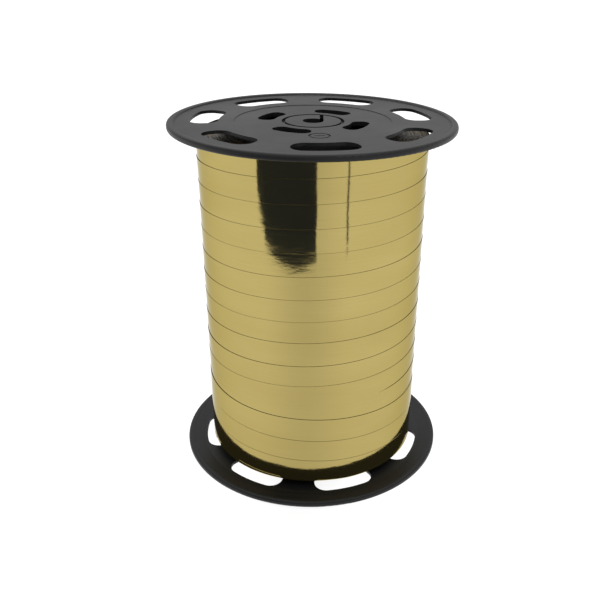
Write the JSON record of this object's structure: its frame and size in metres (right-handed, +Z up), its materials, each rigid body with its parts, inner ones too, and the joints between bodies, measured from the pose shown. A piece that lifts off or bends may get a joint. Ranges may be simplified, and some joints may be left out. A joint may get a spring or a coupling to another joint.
{
  "type": "curling ribbon reel",
  "caption": "Reel of mirror-gold curling ribbon: two slotted black plastic flanges on a core tube, with helical ribbon turns between them.",
  "frame": {"origin": "centre of the lower flange's standing circle, on the surface that the reel stands on", "axes": "+Z up along the reel's axis, -Y the front, +X to the right seen from the front"},
  "size_m": [0.11, 0.11, 0.1405],
  "materials": {
    "flange_plastic": "satin moulded black polystyrene",
    "core_plastic": "dull black moulded plastic",
    "gold_ribbon": "mirror-bright gold metallised film",
    "clear_tape": "clear adhesive tape"
  },
  "bodies": {
    "root": {"top_flange": "flange_plastic", "bottom_flange": "flange_plastic", "core_tube": "core_plastic", "start_tape": "clear_tape", "ribbon_inner_layers": "gold_ribbon", "ribbon_outer_turns": "gold_ribbon", "ribbon_last_turns": "gold_ribbon", "end_tape": "clear_tape"}
  },
  "joints": []
}
